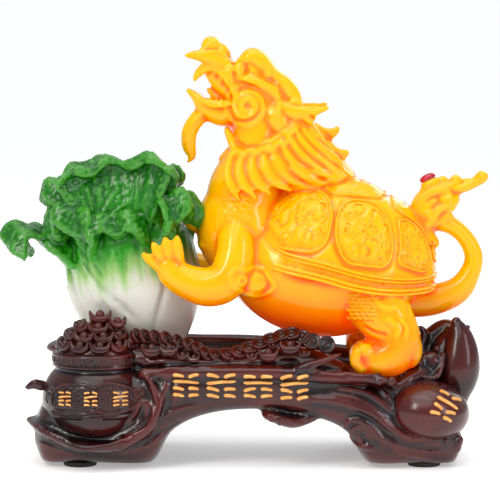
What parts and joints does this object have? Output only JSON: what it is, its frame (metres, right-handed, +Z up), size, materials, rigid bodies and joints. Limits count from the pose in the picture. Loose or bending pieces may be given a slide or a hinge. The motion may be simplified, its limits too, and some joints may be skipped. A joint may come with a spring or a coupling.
{
  "type": "dragon turtle figure",
  "caption": "Cast dragon turtle rearing against a cabbage, on a dark stand with a treasure pot, coins, ingots and a gourd.",
  "frame": {"origin": "on the table, under the middle of the whole ornament", "axes": "+Z up; -Y is the front that carries the gilt strokes; the dragon turtle faces -X"},
  "size_m": [0.3586, 0.1622, 0.3124],
  "materials": {
    "stand_resin": "glossy",
    "amber_resin": "glossy",
    "cabbage_resin": "glossy",
    "gilt": "satin",
    "gem": "polished",
    "pad_rubber": "matt"
  },
  "bodies": {
    "root": {"stand": "stand_resin", "dragon_turtle": "amber_resin", "cabbage": "cabbage_resin", "tail_gem": "gem", "foot_front_left": "pad_rubber", "foot_front_right": "pad_rubber", "foot_back_left": "pad_rubber", "foot_back_right": "pad_rubber"}
  },
  "joints": []
}
